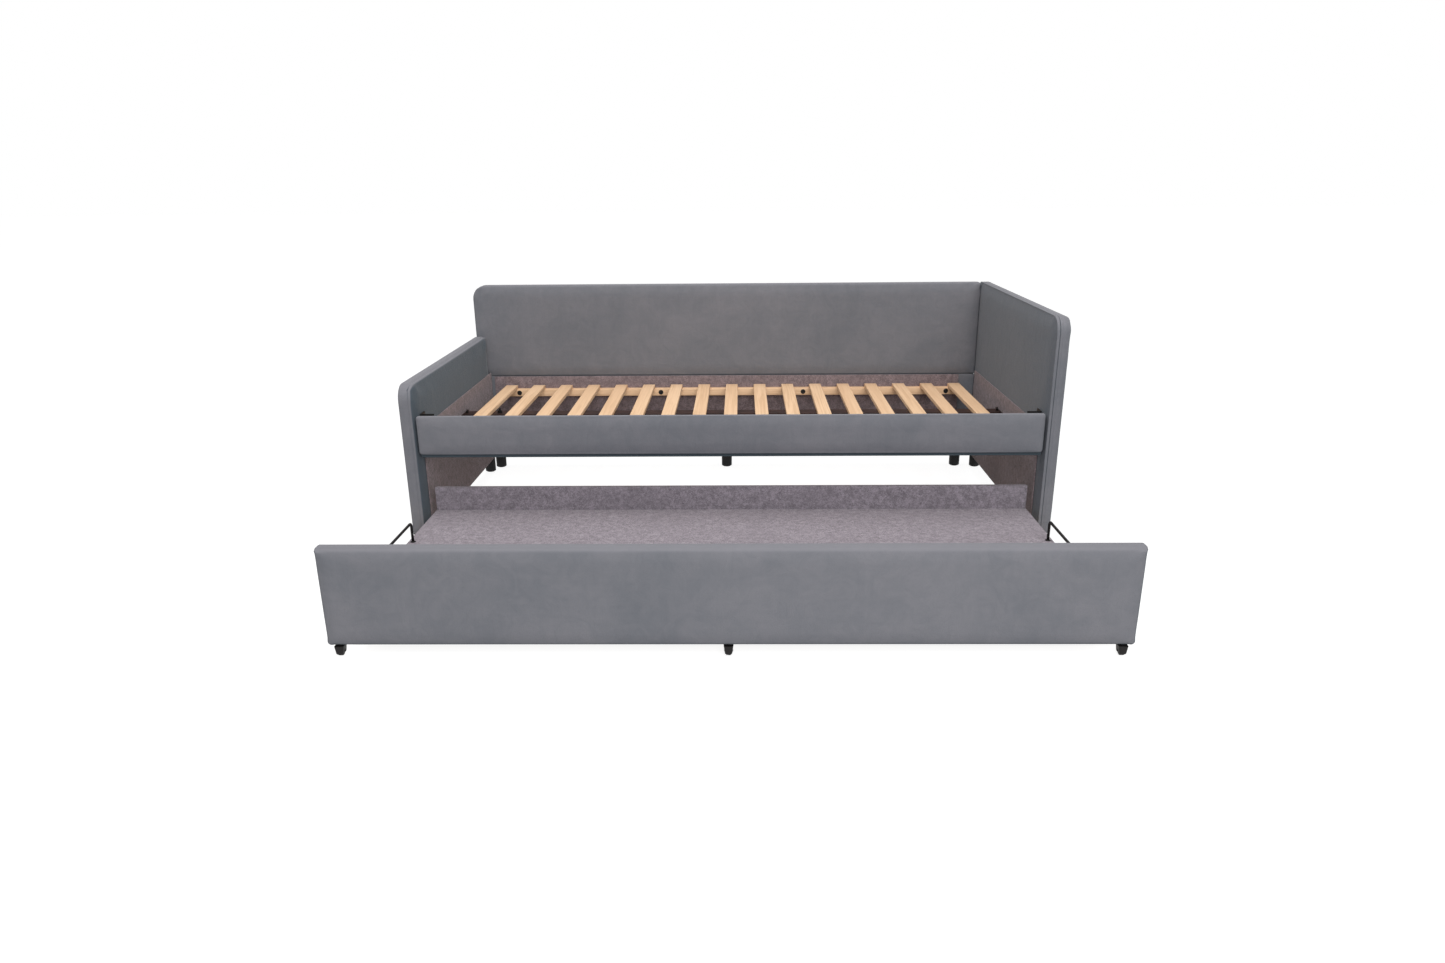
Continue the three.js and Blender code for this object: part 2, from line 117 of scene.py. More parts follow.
class BedUpholstery(bpy.types.PropertyGroup):
    """How thickly and how tightly the boards are padded."""

    edge: length("Edge", 0.0065, "Radius of the padded edge round each face")
    rail_edge: length("Rail edge", 0.009, "Radius of the soft edges of the rail and the trundle front")
    crown: length("Crown", 0.002, "How far a face rises between its edges")
    swell: length("Swell", 0.004, "The most that the foam may push the velvet out")
    unevenness: length("Unevenness", 0.0006, "Height of the slow waves in the foam")
    seam_depth: length("Seam depth", 0.0009, "How deep a seam is drawn in")
    pleat: length("Pleat", 0.0009, "Depth of the gathers round a rounded corner")


class BedColours(bpy.types.PropertyGroup):
    """The colours of the finishes."""

    velvet: colour("Velvet", "velvet", "Short-pile velvet")
    felt: colour("Felt", "felt", "Heathered needle felt")
    pine: colour("Pine", "pine", "Sanded pine")
    plywood: colour("Plywood", "plywood", "Plywood under the felt")
    black_steel: colour("Black steel", "black_steel", "Powder coat of the rods, forks and brackets")
    brown_steel: colour("Brown steel", "brown_steel", "Powder coat of the beam")
    foot: colour("Foot", "foot_plastic", "Moulded feet")
    wheel: colour("Wheel", "wheel_rubber", "Rubber of the casters")


class BedStage(bpy.types.PropertyGroup):
    """Camera and light."""

    lens: FloatProperty(name="Lens", description="Focal length", default=26.0, unit="CAMERA")
    sky: FloatProperty(name="Sky", description="Strength of the light from all round", default=0.42, min=0)
    key: FloatProperty(name="Key", description="Power of the large lamp", default=205, min=0, unit="POWER")
    top: FloatProperty(name="Top", description="Power of the lamp above", default=62, min=0, unit="POWER")


# ---- Grids ----


def box_of(*nodes):
    """Lowest and highest corner round all these nodes, as two arrays."""
    corners = [np.array(corner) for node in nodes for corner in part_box(node)]
    return np.min(corners, axis=0), np.max(corners, axis=0)


def ticks(start, end, rounding, cell):
    """Grid lines from start to end. Within the rounding at each end they lie at one minus the cosine of
    even angles, which steps evenly round an arc, and between them they are about a cell apart."""
    arc = rounding * (1 - np.cos(np.linspace(0, math.pi / 2, ARC_STEPS + 1)))
    inner = end - start - 2 * rounding
    between = np.linspace(0, inner, max(2, round(inner / cell)) + 1)[1:-1]
    return start + np.concatenate([arc, rounding + between, end - start - arc[::-1]])


def grid_faces(rows, columns, first=0, wrapped=False):
    """Quads of a grid of points numbered row by row from first. Wrapped, its last column joins its
    first."""
    here = first + np.arange(rows * columns).reshape(rows, columns)
    beside = np.roll(here, -1, axis=1)
    if not wrapped:
        here, beside = here[:, :-1], beside[:, :-1]
    quads = np.stack([here[:-1], beside[:-1], beside[1:], here[1:]], axis=-1)
    return quads.reshape(-1, 4)


def rounded_outline(across, up, corners):
    """Moves a flat grid into an outline with rounded corners, and gives each point's depth inside it.

    The corners' radii go anticlockwise from the one where both ranges are lowest.
    Within a corner's square, where s and w run from 0 to 1 towards its two sides, s becomes s times the
    root of 1 - w*w/2 and w becomes w times the root of 1 - s*s/2, which turns the square's two outer
    sides into a quarter circle. The depth is the radius left outside the point there, and the distance
    to the nearest side elsewhere."""
    left, right, low, high = across.min(), across.max(), up.min(), up.max()
    depth = np.minimum(np.minimum(across - left, right - across), np.minimum(up - low, high - up))
    across, up = across.copy(), up.copy()
    sides = [(left, 1, low, 1), (right, -1, low, 1), (right, -1, high, -1), (left, 1, high, -1)]
    for radius, (side_x, inward_x, side_z, inward_z) in zip(corners, sides):
        s = 1 - inward_x * (across - side_x) / radius
        w = 1 - inward_z * (up - side_z) / radius
        inside = (s > 0) & (w > 0)
        s, w = s[inside], w[inside]
        bent_s, bent_w = s * np.sqrt(1 - w * w / 2), w * np.sqrt(1 - s * s / 2)
        across[inside] = side_x + inward_x * radius * (1 - bent_s)
        up[inside] = side_z + inward_z * radius * (1 - bent_w)
        depth[inside] = radius * (1 - np.hypot(bent_s, bent_w))
    return across, up, np.maximum(depth, 0)


def rim_of(grid):
    """The points round the edge of a grid, anticlockwise, once each."""
    return np.concatenate([grid[0, :-1], grid[:-1, -1], grid[-1, :0:-1], grid[:0:-1, 0]])


def waves(across, up, seed):
    """A slow, uneven surface between -1 and 1: three crossed sines whose phases come from the seed."""
    first = np.sin(17 * across + 9 * up + seed)
    second = np.sin(31 * across - 23 * up + 2.3 * seed)
    third = np.sin(7 * across + 41 * up + 4.1 * seed)
    return (first + 0.6 * second + 0.5 * third) / 2.1


def panel_surface(a, b, face, rear, corners, face_round, rear_round, cell, **soft):
    """A closed panel, as points (a, b, t) and quads.

    a and b are its ranges in its own plane, and t runs from the face to the rear. Both faces are one
    grid bent into the rounded outline. Near the outline a face drops by r - sqrt(r*r - (r - d)^2),
    where r is its edge radius and d the depth inside the outline, so its edge is a quarter circle. A
    crowned face rises by 1 - (1 - d/reach)^3 of its crown. The wall between the faces follows the
    outline's rim, and a seam draws it in by a bell curve about the seam's place."""
    soft = SimpleNamespace(**{"crown": 0.0, "rise": 0.09, "uneven": 0.0, "seed": 0.0, "seams": (),
                              "seam_depth": 0.0, "pleat": 0.0, **soft})
    edge = max(face_round, rear_round)
    across, up = np.meshgrid(ticks(*a, edge, cell), ticks(*b, edge, cell))
    across, up, depth = rounded_outline(across, up, corners)
    rise = 1 - (1 - np.clip(depth / soft.rise, 0, 1)) ** 3
    dropped = [
        radius - np.sqrt(np.maximum(radius**2 - np.maximum(radius - depth, 0) ** 2, 0))
        for radius in (face_round, rear_round)
    ]
    thickness = abs(rear - face)
    front = dropped[0] + soft.crown * (1 - rise)
    front = front + soft.uneven * rise * (1 + waves(across, up, soft.seed))
    back = thickness - dropped[1]
    wall = wall_surface(across, up, soft, front.max(), thickness - rear_round, corners)
    sheets = [np.stack([across, up, t], axis=-1).reshape(-1, 3) for t in (front, back)]
    points = np.concatenate([*sheets, wall.reshape(-1, 3)])
    points[:, 2] = face + np.sign(rear - face) * points[:, 2]
    rows, columns = across.shape
    faces = [
        grid_faces(rows, columns),
        grid_faces(rows, columns, rows * columns),
        grid_faces(*wall.shape[:2], 2 * rows * columns, wrapped=True),
    ]
    return points, np.concatenate(faces)


def wall_surface(across, up, soft, start, end, corners):
    """The wall between a panel's faces: its rim, repeated at each depth t from start to end. Seams and
    the pleats of large rounded corners move it inwards."""
    rim = np.stack([rim_of(across), rim_of(up)], axis=-1)
    along = np.roll(rim, -1, axis=0) - np.roll(rim, 1, axis=0)
    outward = np.stack([along[:, 1], -along[:, 0]], axis=-1)
    outward /= np.linalg.norm(outward, axis=1, keepdims=True)
    depths = wall_depths(start, end, soft.seams)
    inward = np.zeros((len(depths), len(rim)))
    for seam in soft.seams:
        inward += soft.seam_depth * np.exp(-(((depths - seam) / (1.2 * MM)) ** 2))[:, None]
    if soft.pleat:
        turn = np.arctan2(outward[:, 1], outward[:, 0])
        bend = np.abs(np.sin(2 * turn)) * (max(corners) > LARGE_CORNER)
        middle = np.sin(math.pi * (depths - start) / (end - start)) ** 2
        inward += soft.pleat * middle[:, None] * (bend * (1 + np.sin(26 * turn)) / 2)[None, :]
    moved = rim[None] - outward[None] * inward[..., None]
    return np.concatenate([moved, np.broadcast_to(depths[:, None, None], (*moved.shape[:2], 1))], axis=-1)


def wall_depths(start, end, seams):
    """Where the wall's rows lie: evenly, and closer together about each seam."""
    rows = [np.linspace(start, end, 6)[1:-1]]
    rows += [seam + np.linspace(-3, 3, 9) * MM for seam in seams]
    rows = np.sort(np.concatenate(rows))
    margin = 0.2 * MM
    rows = rows[(rows > start + margin) & (rows < end - margin)]
    return np.concatenate([[start], rows, [end]])


def turned_surface(profile, sides=ROUND_SIDES, flats=0):
    """A closed solid of revolution about t, as points (a, b, t) and quads.

    The profile's rows are (radius, t, share): the point at angle v is radius times (cos v, sin v). Where
    share is 1 and there are flats, the radius becomes that of a regular polygon: radius divided by the
    cosine of the angle to the middle of its flat."""
    radius, along, share = np.array([row if len(row) == 3 else (*row, 0.0) for row in profile]).T
    angle = np.linspace(0, 2 * math.pi, sides, endpoint=False)
    stretch = np.ones(sides)
    if flats:
        sector = 2 * math.pi / flats
        stretch = 1 / np.cos((angle + sector / 2) % sector - sector / 2)
    reach = radius[:, None] * (1 + share[:, None] * (stretch[None] - 1))
    points = np.stack([reach * np.cos(angle), reach * np.sin(angle), reach * 0 + along[:, None]], axis=-1)
    return points.reshape(-1, 3), grid_faces(len(radius), sides, wrapped=True)


def rod_surface(path, radius, sides=24):
    """A closed round rod whose axis follows a path in a plane of constant X.

    The ring at a path point is the point plus radius times (cos v along X, sin v along the path's own
    normal, which is its tangent crossed with X). The first and last rings shrink to nothing."""
    tangent = np.gradient(path, axis=0)
    tangent /= np.linalg.norm(tangent, axis=1, keepdims=True)
    sideways = np.broadcast_to([1.0, 0.0, 0.0], path.shape)
    normal = np.cross(tangent, sideways)
    angle = np.linspace(0, 2 * math.pi, sides, endpoint=False)[None, :, None]
    rings = radius * (np.cos(angle) * sideways[:, None] + np.sin(angle) * normal[:, None])
    points = path[:, None] + rings
    caps = [np.broadcast_to(path[end], (1, sides, 3)) for end in (0, -1)]
    points = np.concatenate([caps[0], points, caps[1]])
    return points.reshape(-1, 3), grid_faces(len(points), sides, wrapped=True)


def facing(points, direction):
    """Points (a, b, t) set up in the frame, so that a panel faces along direction: "front" puts a along X
    and b along Z, "side" puts a along Y and b along Z, and "up" puts a along X and b along Y."""
    a, b, t = points.T
    order = {"front": (a, t, b), "side": (t, a, b), "up": (a, b, t)}[direction]
    return np.stack(order, axis=-1)


# ---- Pieces ----


def lay_piece(name, points, faces, body, finish, nodes=()):
    """A mesh piece with these points and quads, riding on a body in the place of its CAD nodes."""
    mesh = bpy.data.meshes.new(name)
    mesh.vertices.add(len(points))
    mesh.vertices.foreach_set("co", np.asarray(points, np.float32).ravel())
    mesh.loops.add(faces.size)
    mesh.loops.foreach_set("vertex_index", faces.astype(np.int32).ravel())
    mesh.polygons.add(len(faces))
    mesh.polygons.foreach_set("loop_start", np.arange(0, faces.size, 4, dtype=np.int32))
    mesh.update(calc_edges=True)
    mesh.validate()
    close_surface(mesh)
    mesh.polygons.foreach_set("use_smooth", np.full(len(mesh.polygons), True))
    mesh.materials.append(finish_named(finish))
    piece = bpy.data.objects.new(name, mesh)
    bpy.context.scene.collection.objects.link(piece)
    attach(piece, body)
    if nodes:
        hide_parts(*nodes)
    return piece


def close_surface(mesh):
    """Merges the points that meet along the grids' edges, and turns every face outwards.

    Recalculating makes the faces agree with each other. On a shape as even as a wheel it can settle on
    the inner side, so a mesh that then encloses less than nothing is turned round."""
    work = bmesh.new()
    work.from_mesh(mesh)
    bmesh.ops.remove_doubles(work, verts=work.verts, dist=WELD)
    bmesh.ops.dissolve_degenerate(work, edges=work.edges, dist=WELD)
    bmesh.ops.recalc_face_normals(work, faces=work.faces)
    if work.calc_volume(signed=True) < 0:
        bmesh.ops.reverse_faces(work, faces=work.faces)
    work.to_mesh(mesh)
    work.free()


def joined(surfaces):
    """Several (points, quads) as one."""
    points, faces, first = [], [], 0
    for some, quads in surfaces:
        points.append(some)
        faces.append(quads + first)
        first += len(some)
    return np.concatenate(points), np.concatenate(faces)


def crease_sharp(piece, degrees=32):
    """Keeps the edges that turn by more than this sharp, where a piece is otherwise smooth."""
    work = bmesh.new()
    work.from_mesh(piece.data)
    for edge in work.edges:
        edge.smooth = len(edge.link_faces) == 2 and edge.calc_face_angle(0) < math.radians(degrees)
    work.to_mesh(piece.data)
    work.free()


def dress(nodes, finish):
    """Gives CAD nodes, which keep their own meshes, a finish."""
    for node in nodes:
        mesh = frame["nodes"][node].data
        mesh.materials.clear()
        mesh.materials.append(finish_named(finish))


PANEL_PLANES = {"front": (0, 2, 1), "side": (1, 2, 0), "up": (0, 1, 2)}


def panel_from(name, nodes, body, direction, faces_low, finish, corners, rounds, cell, **options):
    """A panel in the box of some CAD nodes. Its face is on the box's low side if faces_low, and the
    options may move the box's corners inwards as well as soften the panel."""
    low, high = box_of(*nodes)
    low, high = options.pop("low", low), options.pop("high", high)
    a, b, t = PANEL_PLANES[direction]
    face, rear = (low[t], high[t]) if faces_low else (high[t], low[t])
    points, quads = panel_surface(
        (low[a], high[a]), (low[b], high[b]), face, rear, corners, *rounds, cell, **options
    )
    return lay_piece(name, facing(points, direction), quads, body, finish, nodes)


def padded_panel(name, nodes, body, direction, faces_low, corners, sizes, edge, **options):
    """A velvet panel: crowned, uneven and swelled by its foam."""
    softness = {"crown": sizes.crown, "uneven": sizes.unevenness, "seam_depth": sizes.seam_depth,
                "pleat": sizes.pleat, **options}
    finish = softness.pop("finish", "velvet")
    piece = panel_from(name, nodes, body, direction, faces_low, finish, corners,
                       (edge, REAR_EDGE), FINE_CELL, **softness)
    axis = PANEL_PLANES[direction][2]
    swell(piece, axis, faces_low, sizes.swell)
    return piece


def swell(piece, axis, faces_low, limit):
    """Lets foam push a panel's velvet out, as cloth under pressure that is held all round its rear.

    The cloth's movement m becomes limit times tanh(m / limit), and it then lies back by the limit along
    the panel's axis, so that the panel stays in its own space."""
    if not limit:
        return
    rest = coordinates(piece)
    depth = rest[:, axis] if faces_low else -rest[:, axis]
    reach = FREE_SHARE * np.ptp(depth)
    border = depth.min() + reach
    held = np.flatnonzero(depth > border)
    group = piece.vertex_groups.new(name="Held")
    group.add(held.tolist(), 1.0, "REPLACE")
    cloth = piece.modifiers.new("Foam", "CLOTH")
    set_cloth(cloth.settings, group.name)
    for step in range(1, SWELL_FRAMES + 1):
        bpy.context.scene.frame_set(step)
    moved = coordinates(piece.evaluated_get(bpy.context.evaluated_depsgraph_get())) - rest
    piece.modifiers.remove(cloth)
    piece.vertex_groups.remove(group)
    bpy.context.scene.frame_set(1)
    distance = np.maximum(np.linalg.norm(moved, axis=1), 1e-9)
    moved *= (limit * np.tanh(distance / limit) / distance)[:, None]
    outward = -1 if faces_low else 1
    highest = (moved[:, axis] * outward).max()
    free = np.clip((border - depth) / reach, 0, 1)
    moved[:, axis] -= outward * highest * free
    piece.data.vertices.foreach_set("co", (rest + moved).astype(np.float32).ravel())
    piece.data.update()


def set_cloth(settings, held):
    """Velvet over foam: light, hardly stretching, no weight, pushed out by an even pressure."""
    settings.quality = 4
    settings.mass = 0.3
    settings.tension_stiffness = 25
    settings.compression_stiffness = 25
    settings.bending_stiffness = 1.5
    settings.use_pressure = True
    settings.uniform_pressure_force = 4
    settings.effector_weights.gravity = 0
    settings.vertex_group_mass = held


def coordinates(piece):
    """The points of an object's mesh, one row each."""
    flat = np.zeros(3 * len(piece.data.vertices), np.float32)
    piece.data.vertices.foreach_get("co", flat)
    return flat.reshape(-1, 3).astype(float)


# ---- Shader wires ----


class Wire:
    """A value in a finish's node tree. Arithmetic on it adds Math nodes."""

    def __init__(self, tree, socket):
        self.tree, self.socket = tree, socket

    def _math(self, operation, *values):
        return self.tree.add("ShaderNodeMath", {"operation": operation}, dict(enumerate(values)))

    def __add__(self, other):
        return self._math("ADD", self, other)

    def __sub__(self, other):
        return self._math("SUBTRACT", self, other)

    def __rsub__(self, other):
        return self._math("SUBTRACT", other, self)

    def __mul__(self, other):
        return self._math("MULTIPLY", self, other)

    __radd__, __rmul__ = __add__, __mul__

    def between(self, low, high):
        """0 below low, 1 above high, and a smooth step from one to the other."""
        sockets = {"Value": self, "From Min": low, "From Max": high}
        return self.tree.add("ShaderNodeMapRange", {"interpolation_type": "SMOOTHSTEP"}, sockets)


class Finish:
    """A material and its nodes, round one Principled shader."""

    def __init__(self, name):
        self.material = bpy.data.materials.new(MATERIAL_PREFIX + name)
        self.material.use_nodes = True
        self.nodes = self.material.node_tree.nodes
        self.shader = self.nodes["Principled BSDF"]
        self.place = self.add("ShaderNodeTexCoord", output="Object")

    def add(self, kind, settings=None, sockets=None, output=0):
        """A node with its settings made first, then the values or wires of its sockets."""
        node = self.nodes.new(kind)
        for key, value in (settings or {}).items():
            setattr(node, key, value)
        for key, value in (sockets or {}).items():
            self.plug(node.inputs[key], value)
        return Wire(self, node.outputs[output])

    def plug(self, socket, value):
        """Links a wire to a socket, or sets the socket's own value."""
        if isinstance(value, Wire):
            self.material.node_tree.links.new(value.socket, socket)
        else:
            socket.default_value = value

    def surface(self, **sockets):
        """Sets sockets of the shader by name, with _ for each space, and gives the material."""
        for key, value in sockets.items():
            self.plug(self.shader.inputs[key.replace("_", " ")], value)
        return self.material

    def scaled(self, x, y, z):
        """The piece's own coordinates with each axis stretched."""
        sockets = {"Vector": self.place, "Scale": (x, y, z)}
        return self.add("ShaderNodeMapping", {"vector_type": "POINT"}, sockets)

    def facing(self, axis):
        """How far the smooth surface faces along an axis, from -1 to 1."""
        normal = self.add("ShaderNodeNewGeometry", output="Normal")
        return self.add("ShaderNodeSeparateXYZ", None, {"Vector": normal}, output=axis)

    def noise(self, scale, detail=3.0, roughness=0.5, distortion=0.0, vector=None):
        """Smooth random value about one half; scale is in patches per metre."""
        sockets = {"Vector": vector or self.place, "Scale": scale, "Detail": detail,
                   "Roughness": roughness, "Distortion": distortion}
        return self.add("ShaderNodeTexNoise", None, sockets)

    def mix(self, first, second, factor):
        """A colour from first to second as factor goes from 0 to 1."""
        settings = {"data_type": "RGBA"}
        return self.add("ShaderNodeMix", settings, {0: factor, 6: first, 7: second}, output=2)

    def bump(self, height, distance, strength=1.0, under=None):
        """A normal from a height; distance is in metres, and under is a normal that it goes on top of."""
        sockets = {"Height": height, "Distance": distance, "Strength": strength}
        if under:
            sockets["Normal"] = under
        return self.add("ShaderNodeBump", None, sockets)


# ---- Finishes ----


def velvet_finish(name, base):
    """Short pile: soft clouds where the nap was brushed one way or the other, faint crossed streaks,
    a fine tooth, and a sheen on what turns away. Faces that look along X are deeper and greener as
    painted shade, those that look down deepest, and those that look up lighter as painted light."""
    f = Finish(name)
    clouds = f.noise(2.6, 5, 0.6, 0.8)
    patches = f.noise(15, 6, 0.65, 1.5)
    upright = f.noise(1, 4, 0.65, 0.6, f.scaled(55, 55, 9))
    level = f.noise(1, 4, 0.65, 0.6, f.scaled(10, 10, 60))
    pile = f.noise(900, 3, 0.6)
    brushed = clouds.between(0.32, 0.68) * 0.5 + patches.between(0.32, 0.68) * 0.3
    brushed = brushed + upright.between(0.3, 0.7) * 0.1 + level.between(0.3, 0.7) * 0.1
    cool = toned(base, 0.85, (0.97, 1.0, 1.03))
    warm = toned(base, 1.15, (1.03, 1.0, 1.0))
    body = f.mix(cool, warm, brushed)
    body = f.mix(body, toned(base, 0.62), (1 - pile.between(0.3, 0.52)) * 0.4)
    # Painted shade and light by facing: deeper and greener along X, most towards +X, deepest looking down,
    # lighter looking up
    across, up = f.facing("X"), f.facing("Z")
    deep = toned(base, 0.5, (0.8, 1.06, 1.18))
    body = f.mix(body, deep, across.between(0.4, 0.95) * 0.88 + (0 - across).between(0.4, 0.95) * 0.42)
    body = f.mix(body, toned(base, 0.4, (0.8, 1.05, 1.15)), (0 - up).between(0.2, 0.9) * 0.85)
    body = f.mix(body, toned(base, 1.25, (1.03, 0.99, 0.99)), up.between(0.15, 0.85) * 0.6)
    soft = f.bump(upright + level + patches * 3, 0.0014, 0.3)
    tooth = f.bump(pile, 0.0005, 0.6, soft)
    return f.surface(
        Base_Color=body, Roughness=0.78 + brushed * 0.17, Normal=tooth, Sheen_Weight=0.16,
        Sheen_Roughness=0.34, Sheen_Tint=(0.98, 0.97, 1.0, 1.0), Specular_IOR_Level=0.2,
    )


def velvet(colours):
    return velvet_finish("velvet", colours.velvet)


def velvet_painted_shade(colours):
    """The velvet made deeper and greener as painted shade, for the rail's board below its cushion."""
    return velvet_finish("velvet_painted_shade", toned(colours.velvet, 0.46, (0.78, 1.02, 1.1))[:3])


def felt_finish(name, base, tint):
    """Needle felt: pale and dark fibres heathered together in tufts of a few millimetres, with longer
    fibres lying both ways through them, thin places between them, and loft in the bump."""
    f = Finish(name)
    clump = f.noise(52, 4, 0.75, 0.3)
    tangle = f.noise(150, 6, 0.8, 0.4)
    fleck = f.noise(330, 5, 0.75, 0.8)
    lengthways = f.noise(1, 3, 0.7, 0.5, f.scaled(170, 900, 900))
    crossways = f.noise(1, 3, 0.7, 0.5, f.scaled(900, 170, 900))
    cloud = f.noise(7, 3)
    body = f.mix(toned(base, 0.74, tint), toned(base, 1.3, tint), tangle.between(0.38, 0.62))
    body = f.mix(body, toned(base, 0.55, tint), (1 - clump.between(0.36, 0.5)) * 0.5)
    body = f.mix(body, toned(base, 1.7, tint), clump.between(0.5, 0.64) * 0.45)
    body = f.mix(body, toned(base, 0.3, tint), (1 - fleck.between(0.36, 0.46)) * 0.7)
    body = f.mix(body, toned(base, 1.9, tint), fleck.between(0.55, 0.66) * 0.6)
    body = f.mix(body, toned(base, 0.35, tint), (1 - lengthways.between(0.34, 0.44)) * 0.6)
    body = f.mix(body, toned(base, 2.2, tint), crossways.between(0.57, 0.67) * 0.6)
    body = f.mix(body, toned(base, 0.85, tint), cloud.between(0.35, 0.7) * 0.3)
    loft = f.bump(tangle + fleck + lengthways * 0.6 + crossways * 0.6, 0.0009, 0.7)
    return f.surface(
        Base_Color=body, Roughness=0.95, Normal=loft, Sheen_Weight=0.12, Sheen_Roughness=0.5,
        Specular_IOR_Level=0.15,
    )


def felt(colours):
    # Made lighter as painted light, for the deck felt that faces up to the lamps
    return felt_finish("felt", toned(colours.felt, 1.26)[:3], (0.96, 1.0, 1.07))


def felt_wrap(colours):
    """The felt over the trundle's back stop, made darker and bluer than the deck's felt."""
    return felt_finish("felt_wrap", toned(colours.felt, 0.92)[:3], (0.95, 1.0, 1.09))


def felt_lining_shaded(colours):
    """The same felt where it lines the bed, darker as painted shade and browner as painted light bounced
    off the pine.
    """
    return felt_finish("felt_lining_shaded", toned(colours.felt, 0.86)[:3], (1.03, 0.97, 0.98))


def pine_finish(name, base, along):
    """Sanded pine whose grain runs along one axis: rings stretched along it, fine pores, a tone that
    changes from board to board, and a few darker streaks."""
    f = Finish(name)
    stretch = [90.0, 90.0, 90.0]
    stretch["xyz".index(along)] = 2.2
    rings = f.noise(1, 3, 0.5, 1.4, f.scaled(*stretch))
    pores = f.noise(6, 3, 0.7, 0.3, f.scaled(*stretch))
    board = f.noise(9, 1, vector=f.scaled(*(0.05 if axis == along else 1.0 for axis in "xyz")))
    early, late = toned(base, 0.92, (1, 0.96, 0.9)), toned(base, 1.1, (1, 1.02, 1.04))
    body = f.mix(early, late, rings.between(0.32, 0.6))
    body = f.mix(body, toned(base, 0.94, (1, 0.96, 0.92)), board.between(0.35, 0.65) * 0.5)
    body = f.mix(body, toned(base, 0.55, (1, 0.85, 0.7)), (1 - rings.between(0.2, 0.3)) * 0.6)
    body = f.mix(body, toned(base, 0.7, (1, 0.9, 0.8)), (1 - pores.between(0.28, 0.4)) * 0.4)
    grain = f.bump(rings * 0.6 + pores * 0.4, 0.0006, 0.4)
    return f.surface(Base_Color=body, Roughness=0.5 + rings * 0.2, Normal=grain, Specular_IOR_Level=0.35)


def pine_along_y(colours):
    return pine_finish("pine_along_y", colours.pine, "y")


def pine_along_x(colours):
    return pine_finish("pine_along_x", colours.pine, "x")


def plywood(colours):
    """Face veneer with a rotary-cut figure, and five plies that show on the edges."""
    f = Finish("plywood")
    base = colours.plywood
    figure = f.noise(1, 4, 0.55, 2.5, f.scaled(3, 26, 26))
    pores = f.noise(1, 2, vector=f.scaled(20, 700, 20))
    plies = f.add("ShaderNodeTexWave", {"bands_direction": "Z"}, {"Vector": f.place, "Scale": 65.0})
    body = f.mix(toned(base, 0.78, (1, 0.94, 0.86)), toned(base, 1.12), figure.between(0.3, 0.68))
    body = f.mix(body, toned(base, 0.6), (1 - pores.between(0.3, 0.45)) * 0.4)
    rise = f.facing("Z")
    edge = 1 - rise * rise
    body = f.mix(body, toned(base, 0.55, (1, 0.9, 0.8)), plies.between(0.4, 0.6) * edge * 0.7)
    grain = f.bump(figure + pores, 0.0004, 0.4)
    return f.surface(Base_Color=body, Roughness=0.6 + figure * 0.2, Normal=grain)


def coated_steel(name, base, metallic, gloss):
    """Powder coat: an orange-peel skin, slightly rubbed tone and small specks."""
    f = Finish(name)
    peel = f.noise(520, 2, 0.4)
    rubbed = f.noise(22, 4, 0.6)
    body = f.mix(toned(base, 0.7), toned(base, 1.3), rubbed.between(0.35, 0.7))
    return f.surface(
        Base_Color=body, Roughness=gloss + rubbed * 0.18, Metallic=metallic,
        Normal=f.bump(peel, 0.0002, 0.5), Specular_IOR_Level=0.3,
    )


def black_steel(colours):
    return coated_steel("black_steel", colours.black_steel, 0.1, 0.42)


def brown_steel(colours):
    return coated_steel("brown_steel", colours.brown_steel, 0.1, 0.42)


def foot_plastic(colours):
    """Moulded plastic with a fine spark grain and dust-dulled patches."""
    f = Finish("foot_plastic")
    grain = f.noise(1500, 1)
    dust = f.noise(45, 4, 0.6)
    body = f.mix(toned(colours.foot, 0.85), toned(colours.foot, 1.8), dust.between(0.45, 0.8))
    return f.surface(Base_Color=body, Roughness=0.55 + dust * 0.25, Normal=f.bump(grain, 0.0002, 0.5),
                     Specular_IOR_Level=0.3)


def wheel_rubber(colours):
    """Matt rubber, scuffed paler in patches."""
    f = Finish("wheel_rubber")
    scuffs = f.noise(120, 5, 0.7, 1.0)
    body = f.mix(toned(colours.wheel, 0.85), toned(colours.wheel, 2.4), scuffs.between(0.5, 0.8) * 0.6)
    return f.surface(Base_Color=body, Roughness=0.7 + scuffs * 0.2, Normal=f.bump(scuffs, 0.0002, 0.6))


FINISHES = {
    make.__name__: make
    for make in (velvet, velvet_painted_shade, felt, felt_wrap, felt_lining_shaded, pine_along_x, pine_along_y,
                 plywood, black_steel, brown_steel, foot_plastic, wheel_rubber)
}


def finish_named(name):
    """A finish's material, made when it is first asked for."""
    made = bpy.data.materials.get(MATERIAL_PREFIX + name)
    return made or FINISHES[name](bpy.context.scene.bed_colours)


# ---- Bolts ----


def bolt_head(radius, height):
    """A domed socket head on its washer, standing up from t = 0: washer, dome and six-sided recess."""
    washer, recess, floor = 1.35 * radius, 0.5 * radius, 0.35 * height
    lift = 0.22 * height
    return turned_surface(
        [
            (0, 0), (washer, 0), (washer, lift * 0.8), (washer * 0.96, lift), (radius, lift),
            (radius, 0.62 * height), (0.93 * radius, 0.84 * height), (0.75 * radius, height),
            (recess * 1.15, height), (recess, 0.95 * height, 1.0), (recess, floor, 1.0), (0, floor),
        ],
        flats=6,
    )


def placed(surface, centre, axis, sign=1):
    """A surface about t, moved so that t runs from the centre along one axis, towards its sign."""
    points, quads = surface
    a, b, t = points.T
    order = {"x": (sign * t, a, b), "y": (a, sign * t, b), "z": (a, b, sign * t)}[axis]
    return np.stack(order, axis=-1) + np.array(centre), quads


def lay_bolts(name, body, centres, axis, sign, radius, height):
    """One piece that holds like bolt heads at several centres."""
    heads = [placed(bolt_head(radius, height), centre, axis, sign) for centre in centres]
    piece = lay_piece(name, *joined(heads), body, "black_steel")
    crease_sharp(piece)
    return piece


# ---- Operators ----


